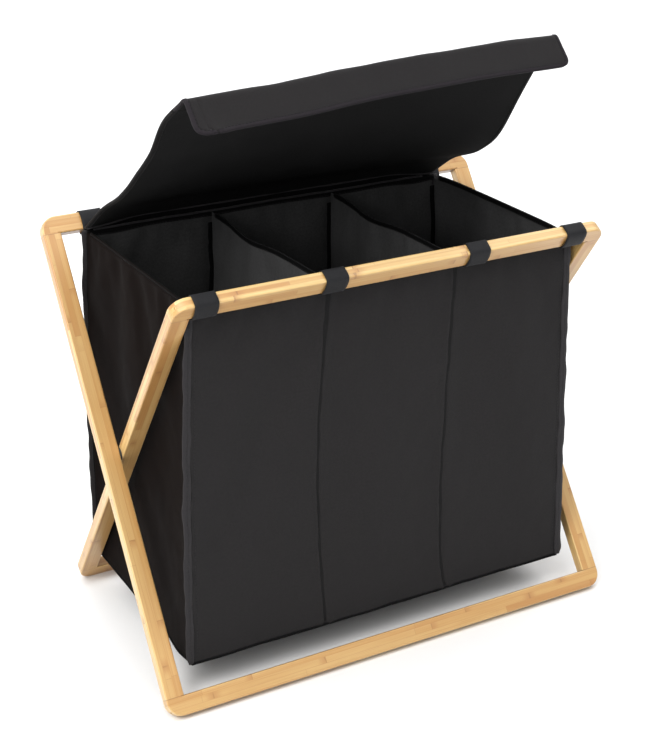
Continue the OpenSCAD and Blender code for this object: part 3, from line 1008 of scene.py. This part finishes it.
def make_seam_tapes(lattice):
    """Tapes over the raw seams inside the back wall, where the other walls are sewn to it. They are
    near-black, which also paints the shade in those inside corners.
    """
    shapes = []
    for column, side in ((LEFT_SEAM, -1), (RIGHT_SEAM, -1), (WIDTH_CELLS, -1), (0, 1)):
        path = catmull(lattice[column, DEPTH_CELLS], np.linspace(1, HEIGHT_CELLS * 0.97, 90))
        path = path + (side * 3.2 * MM, -1.6 * MM, 0)
        path[:, 0] += 0.4 * MM * np.sin(lengths(path) * 80 + column)
        across, up = (np.tile(way, (len(path), 1)) for way in ((1.0, 0, 0), (0, 1.0, 0)))
        shapes.append(sweep(path, across, up, oval(8 * MM, 1.8 * MM)))
    tapes = piece("back_seam_tapes", shapes, "hem_tape")
    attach(tapes, "bag_back")
    narrow_with_legs(tapes)


# ---- loops ----

WEB_T = 1.2 * MM
LOOP_NUMBERS = (1, 2, 3, 4)
LOOP_FOOT = 14 * MM           # a loop reaches this far below the top of the hem
LOOP_GAP_A, LOOP_GAP_B = 2.4 * MM, 2.8 * MM     # from a bar's narrow and wide faces to the webbing's middle


def rail_directions(side):
    """Along the lean of the frame and across it, outwards: side 1 is the rear rail, -1 the front one."""
    lean = np.array([0, side * math.sin(LEAN), math.cos(LEAN)])
    out = np.array([0, side * math.cos(LEAN), -math.sin(LEAN)])
    return lean, out


def loop_path(side, rail):
    """The middle of the webbing, from the hem up round the rail and back down over itself to the hem."""
    lean, out = rail_directions(side)
    edge_a, edge_b = BAR_W / 2 + 0.4 * MM, BAR_T / 2 + 0.4 * MM
    face_a, face_b = BAR_W / 2 + LOOP_GAP_A, BAR_T / 2 + LOOP_GAP_B
    turns = [(-edge_a, -edge_b), (0, -face_b + 0.5 * MM), (edge_a, -edge_b), (face_a, 0), (edge_a, edge_b),
             (0, face_b), (-edge_a, edge_b), (-face_a, 0), (-edge_a - 0.6 * MM, -edge_b + 2 * MM)]
    wrap = np.array([rail + lean * p + out * q for p, q in turns])
    inner = HEM_Y + max(HEM_BODY) * MM / 2 + WEB_T / 2
    outer = inner + WEB_T
    foot, bend = HEM_TOP - LOOP_FOOT, HEM_TOP - 5 * MM
    start = [(0, side * inner, foot), (0, side * inner, bend)]
    finish = [(0, side * outer, bend), (0, side * outer, foot - 0.6 * MM)]
    points = np.concatenate([start, wrap, finish])
    return catmull(points, np.linspace(0, len(points) - 1, 8 * (len(points) - 1) + 1))


def make_loop(node, side, rail):
    low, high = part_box(node)
    path = loop_path(side, rail)
    steps = 9
    grid = np.repeat(path[:, None], steps, axis=1)
    sway = 0.35 * MM * np.sin(lengths(path) * 120 + low.x * 50)
    grid[..., 0] = np.linspace(low.x, high.x, steps) + sway[:, None]
    edge = np.abs(np.linspace(-1, 1, steps))
    thickness = WEB_T * (1 + 0.22 * smooth(0.7, 1, edge))[None]
    band = piece(f"{node}_band", [slab(grid, thickness)], "webbing")
    sewing = piece(f"{node}_stitches", loop_stitches(path, low.x, high.x, side), "thread")
    for made in (band, sewing):
        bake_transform(made)
    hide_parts(node)


def loop_stitches(path, left, right, side):
    """A box of stitches through the two ends of the webbing and the hem."""
    y = side * (abs(path[-1, 1]) + WEB_T / 2)
    low, high = path[-1, 2] + 1.6 * MM, path[-1, 2] + 8.6 * MM
    left, right = left + 2.5 * MM, right - 2.5 * MM
    box = (((left, low), (right, low)), ((left, high), (right, high)),
           ((left, low), (left, high)), ((right, low), (right, high)))
    rows = []
    for line in box:
        ends = np.array([(x, y, z) for x, z in line])
        rows.append(stitches(resample(ends, 8), np.array([0, side, 0.0])))
    return rows


def make_hook_tapes(name, side, rail, body):
    """The hook tapes on the undersides of the loops of one rail."""
    lean, out = rail_directions(side)
    under = rail - lean * (BAR_W / 2 + LOOP_GAP_A + WEB_T / 2 + 0.5 * MM)
    spread = np.linspace(-3 * MM, 7 * MM, 5)
    shapes = []
    for number in LOOP_NUMBERS:
        low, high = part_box(f"{name}_loop_{number}")
        grid = np.zeros((5, 13, 3))
        grid[:] = under + out * spread[:, None, None]
        grid[..., 0] = np.linspace(low.x + 0.5 * MM, high.x - 0.5 * MM, 13)
        shapes.append(slab(grid, 0.8 * MM))
    tapes = piece(f"{name}_hook_tapes", shapes, "hook_tape")
    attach(tapes, body)
    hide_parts(f"{name}_loop_tapes")


def make_loops():
    rails = (("front", -1, "inner", "bag_front"), ("rear", 1, "outer", "bag_back"))
    for name, side, frame_name, bag_body in rails:
        rail = np.array(middle(f"{frame_name}_top_rail"))
        rail[0] = 0
        body = f"{frame_name}_frame"
        for number in LOOP_NUMBERS:
            make_loop(f"{name}_loop_{number}", side, rail)
        make_hook_tapes(name, side, rail, body)


# ---- lid ----

LID_T = 3 * MM
LID_AHEAD = unit(LID_CREASE - LID_BEND)
LID_UP = np.array([0, LID_AHEAD[2], -LID_AHEAD[1]])

# How far the left and right edges of the lid stand above its straight sections, in mm, at even steps from
# the seam to the crease, and how far they are drawn back along them at the crease
LEFT_LIFT = (0, 14, 11, 3, -4, 0, -14)
RIGHT_LIFT = (0, 9, 1, -4, 6, 15, 21)
LEFT_DRAW, RIGHT_DRAW = -4, 15
SEAM_RISE = 7.5 * MM              # the lid's underside stands this far above the rear hem between its ends
SEAM_SHIFT = -7.5 * MM            # the lid is sewn on this far to the left
FLAP_DENT = -LID_HALF + 15 * MM   # the flap is pinched here, beside its left end
FLAP_HANG = math.radians(43)      # the flap hangs this far from the vertical
FLAP_CORNER = 11 * MM             # radius of the flap's lower corners
FLAP_WRAP = 30 * MM               # the flap's cloth starts this far before the crease, and goes on round it
LID_BENDS = (0.2, 0.45)           # two shares of the lid's length, at which make_lid reads points along its middle
SEAM_CORD_R = 1.3 * MM


def lid_line():
    """The lid's profile, from the seam over the bend and the crease to the end of the flap."""
    down = np.array([0, -math.sin(FLAP_HANG), -math.cos(FLAP_HANG)])
    near_crease = LID_CREASE - LID_AHEAD * FLAP_WRAP
    soft = round_corners([LID_SEAM, LID_BEND, LID_BEND + LID_AHEAD * 100 * MM, near_crease], 55 * MM, 14)
    crest = round_corners([near_crease, LID_CREASE, LID_CREASE + down * FLAP_L], 7 * MM, 9)
    return np.concatenate([soft[:-1], crest])


LID_LINE = lid_line()
LID_PLACES = lengths(LID_LINE)
LID_L = LID_PLACES[-1] - FLAP_L
FLAP_START = LID_L - FLAP_WRAP


def lid_surface(along, across):
    """Points of the lid and its flap: along is a distance from the seam, across runs from -1 to 1."""
    y, z = (np.interp(along, LID_PLACES, LID_LINE[:, k]) for k in (1, 2))
    slope = np.stack([np.gradient(y), np.gradient(z)], 1)
    normal = unit(np.stack([slope[:, 1], -slope[:, 0]], 1))
    normal *= np.sign(normal[:, 1:] + 1e-9)
    travelled = np.clip(along / LID_L, 0, 1)
    steps = travelled * (len(LEFT_LIFT) - 1)
    left, right = (catmull(np.array(lift, float) * MM, steps)[:, None] for lift in (LEFT_LIFT, RIGHT_LIFT))
    share = ((across + 1) / 2)[None]

    # The twist: each end has its own lift and draw, and the crease is arched between them
    lift = left * (1 - share) + right * share
    lift += 6 * MM * travelled[:, None] ** 3 * smooth(0.2, 0.5, share) * (1 - 0.7 * smooth(0.7, 1, share))
    draw = MM * (LEFT_DRAW * (1 - share) + RIGHT_DRAW * share) * travelled[:, None] ** 1.5
    near_flap = smooth(FLAP_START, LID_L, along)[:, None]
    way = normal * (1 - near_flap) + LID_UP[1:] * near_flap
    points = np.zeros((len(along), len(across), 3))
    points[..., 0] = LID_HALF * across * lid_width(along)[:, None]
    points[..., 0] += SEAM_SHIFT * (1 - smooth(0, 75 * MM, along))[:, None]
    points[..., 1] = y[:, None] + lift * way[:, :1] - draw * LID_AHEAD[1]
    points[..., 2] = z[:, None] + lift * way[:, 1:] - draw * LID_AHEAD[2]
    rise = SEAM_RISE * (1 - smooth(20 * MM, 80 * MM, along))[:, None] * smooth(0, 0.3, 1 - np.abs(across))
    points[..., 1] -= 0.3 * rise
    points[..., 2] += rise

    # The board's slow waves, and near the flap's left end a curl with a narrow dent in it
    waves = 1.3 * MM * ripple(points, 120 * MM, 41.0) + 0.5 * MM * ripple(points, 45 * MM, 43.0)
    waves *= smooth(0, 50 * MM, along)[:, None]
    past = np.clip(along - LID_L, 0, None)[:, None]
    curl = 3 * MM * bell(across + 0.93, 0.05)[None] * (past / FLAP_L) ** 2
    curl -= 2.2 * MM * bell(across * LID_HALF - FLAP_DENT, 2.4 * MM)[None] * smooth(0, 10 * MM, past)
    points[..., 1] += waves * normal[:, :1] - curl
    points[..., 2] += waves * normal[:, 1:]
    return points


def lid_width(along):
    """Share of the full width: the lower corners of the flap are rounded."""
    into = np.clip(along - (LID_L + FLAP_L - FLAP_CORNER), 0, FLAP_CORNER)
    return 1 - (FLAP_CORNER - np.sqrt(FLAP_CORNER ** 2 - into ** 2)) / LID_HALF


def edge_tape(path, out, inward, reach=5.5 * MM):
    """Tape folded over a raw edge of the lid, with its rows of stitches. Out is the cloth's normal."""
    outline = oval(reach + 1 * MM, LID_T + 1.3 * MM, 14) + (reach / 2 - 1 * MM, 0)
    sewing = stitches_through(path + inward * (reach - 1.6 * MM), out, LID_T / 2 + 0.45 * MM)
    return sweep(path, inward, out, outline), sewing


def edge_frames(path, middle_line):
    """Normal and inward directions along an edge of the lid; middle_line runs beside it, further in."""
    inward = unit(middle_line - path)
    tangent = unit(np.gradient(path, axis=0))
    inward = unit(inward - tangent * (inward * tangent).sum(1, keepdims=True))
    out = unit(np.cross(tangent, inward))
    return out * np.sign((out * (0, -0.3, 1)).sum(1, keepdims=True)), inward


def make_lid():
    dent = FLAP_DENT + np.linspace(-4.5, 4.5, 7) * MM
    across = np.unique(np.concatenate([np.linspace(-1, 1, 68), dent / LID_HALF]))
    main = np.linspace(0, FLAP_START, 62)
    flap = np.linspace(FLAP_START, LID_L + FLAP_L, 34)
    skin_points, flap_points = lid_surface(main, across), lid_surface(flap, across)
    under = ("lining", (0, 0, -1))
    skin = piece("lid_skin", [slab(skin_points, LID_T)], "lid_weave", under)
    front = piece("lid_flap_skin", [slab(flap_points, LID_T)], "lid_weave", under)

    # Tape along the left and right edges, square to a line four places further in
    tapes, rows = [], []
    for edge, inner in ((0, 4), (-1, -5)):
        path = skin_points[:, edge]
        out, inward = edge_frames(path, skin_points[:, inner])
        tape, sewn = edge_tape(path, out, inward)
        tapes.append(tape)
        rows += sewn
    side_tapes = piece("lid_side_tapes", tapes, "dark_tape")
    side_sewing = piece("lid_side_stitches", rows, "thread")

    # Tape round the flap's three free edges, and the seam along its start
    rim = np.concatenate([flap_points[:, 0], flap_points[-1, 1:-1], flap_points[::-1, -1]])
    deep = np.concatenate([flap_points[:, 4], flap_points[-5, 1:-1], flap_points[::-1, -5]])
    rim, deep = resample(rim, 260), resample(rim, 260, deep)
    out, inward = edge_frames(rim, deep)
    tape, sewn = edge_tape(rim, out, inward, 5 * MM)
    flap_tape = piece("flap_edge_tape", [tape], "flap_tape")
    join_out = grid_normals(flap_points)[2]
    sewn.append(stitches(flap_points[2] + join_out * LID_T / 2, join_out))
    # The flap's stitches are coloured near-black: painted shade of their dimples.
    flap_sewing = piece("flap_stitches", sewn, "dimple_shade_thread")

    bend_start, bend_end, crest = lid_surface(LID_L * np.array([*LID_BENDS, 1.0]), np.array([0.0]))[:, 0]
    for made in (skin, side_tapes, side_sewing):
        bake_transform(made)

    # The flap's pieces. The crest of the lid runs askew of the crease.
    for made in (front, flap_tape, flap_sewing):
        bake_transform(made)
    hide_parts("lid_rear", "lid_front")
    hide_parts("lid_rear_binding", "lid_front_binding")
    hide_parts("lid_flap")
    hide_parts("flap_binding")
    make_lid_seam(across)


def make_lid_seam(across):
    """The strip that joins the lid to the rear hem, and the cords sewn along both."""
    first = lid_surface(np.array([0.5 * MM, 9 * MM]), across)
    rear = HEM_Y + HEM_T / 2 + 0.9 * MM
    rows = []
    for height in (HEM_TOP - 9 * MM, HEM_TOP - 4 * MM, HEM_TOP):
        row = first[0].copy()
        row[:, 1:] = rear, height
        rows.append(row)
    rows.extend(first + (0, 1.2 * MM, LID_T / 2 + 0.5 * MM))
    grid = refine(np.array(rows), np.linspace(0, len(rows) - 1, 17), np.arange(float(len(across))))
    strip = piece("lid_seam_strip", [slab(grid, 1.0 * MM)], "hem_tape")
    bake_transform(strip)

    wave = 1.2 * MM * np.sin(across * 9 + 1) + 0.5 * MM * np.sin(across * 31)
    under = lid_surface(np.array([4 * MM, 5 * MM]), across)[0] - LID_UP * (LID_T / 2 + 0.3 * MM)
    under[:, 1] += wave
    upper = piece("lid_seam_cord", [tube(under, SEAM_CORD_R)], "edge_tape")
    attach(upper, "lid_rear")
    along_hem = under[2:-2].copy()
    along_hem[:, 1] = HEM_Y - HEM_T / 2 - 0.8 * MM
    along_hem[:, 2] = HEM_TOP - 0.6 * MM + 0.3 * wave[2:-2]
    lower = piece("rear_hem_cord", [tube(along_hem, SEAM_CORD_R)], "edge_tape")
    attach(lower, "bag_back")


# ---- the scene ----

make_looks()
make_camera()
make_studio()
dress_frame()
make_bag(bag_lattice())
make_loops()
make_lid()
